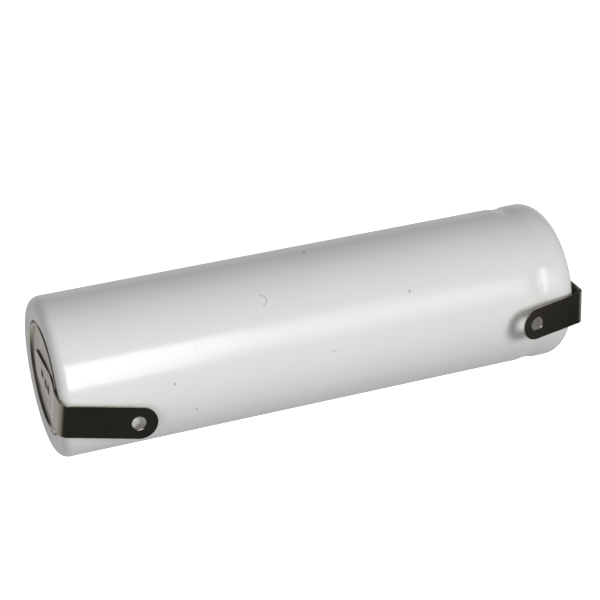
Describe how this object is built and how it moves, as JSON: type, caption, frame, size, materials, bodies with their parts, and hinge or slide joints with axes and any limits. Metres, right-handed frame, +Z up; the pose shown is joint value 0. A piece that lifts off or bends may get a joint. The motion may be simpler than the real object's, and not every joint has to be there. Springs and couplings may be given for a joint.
{
  "type": "cylindrical battery cell",
  "caption": "Cylindrical rechargeable cell in a white shrink sleeve, with a folded nickel solder tag welded to each end.",
  "frame": {"origin": "on the cell's axis, on the outer face of the negative tag's welded foot", "axes": "+X along the cell's axis from the negative end to the positive end; +Z up as the cell lies; both tags are folded along the -Y side"},
  "size_m": [0.0498, 0.0163, 0.0144],
  "materials": {
    "white_film": "glossy shrunk PVC film",
    "plated_steel": "bright nickel-plated steel",
    "nickel_strip": "smooth rolled nickel strip",
    "spring_steel": "drawn wire",
    "nickel_hydroxide": "pressed powder, matt",
    "hydride_alloy": "pressed metal powder, matt",
    "separator_fleece": "thin non-woven fleece",
    "polyamide": "moulded polyamide",
    "black_rubber": "moulded rubber",
    "fibre_board": "punched fibre board"
  },
  "bodies": {
    "cell": {"outer_sleeve": "white_film", "steel_can": "plated_steel", "negative_collector": "plated_steel", "positive_collector": "plated_steel", "negative_plate": "hydride_alloy", "positive_plate": "nickel_hydroxide", "inner_separator": "separator_fleece", "outer_separator": "separator_fleece", "top_insulator": "polyamide", "positive_lead": "nickel_strip", "sealing_gasket": "polyamide", "cover_plate": "plated_steel", "positive_cap": "plated_steel", "cap_ring": "fibre_board", "vent_spring": "spring_steel", "negative_tag_foot": "nickel_strip", "positive_tag_foot": "nickel_strip"},
    "negative_leg": {"negative_tag_leg": "nickel_strip"},
    "positive_leg": {"positive_tag_leg": "nickel_strip"},
    "vent": {"vent_seal": "black_rubber", "vent_plate": "plated_steel"}
  },
  "joints": [
    {"name": "negative_tag_bend", "type": "hinge", "parent": "cell", "child": "negative_leg", "pos_m": [-0.00039, -0.00746, 0.0004], "axis": [0, -0.0541, -0.9985], "range_deg": [-2, 88]},
    {"name": "positive_tag_bend", "type": "hinge", "parent": "cell", "child": "positive_leg", "pos_m": [0.04917, -0.00739, 0.00093], "axis": [0, 0.1253, 0.9921], "range_deg": [-13, 77]},
    {"name": "vent_lift", "type": "slide", "parent": "cell", "child": "vent", "axis": [1, 0, 0], "range_m": [0, 0.0004], "stiffness_N_per_m": 5000, "springref_m": -0.0008, "deforming": ["vent_spring"]}
  ]
}
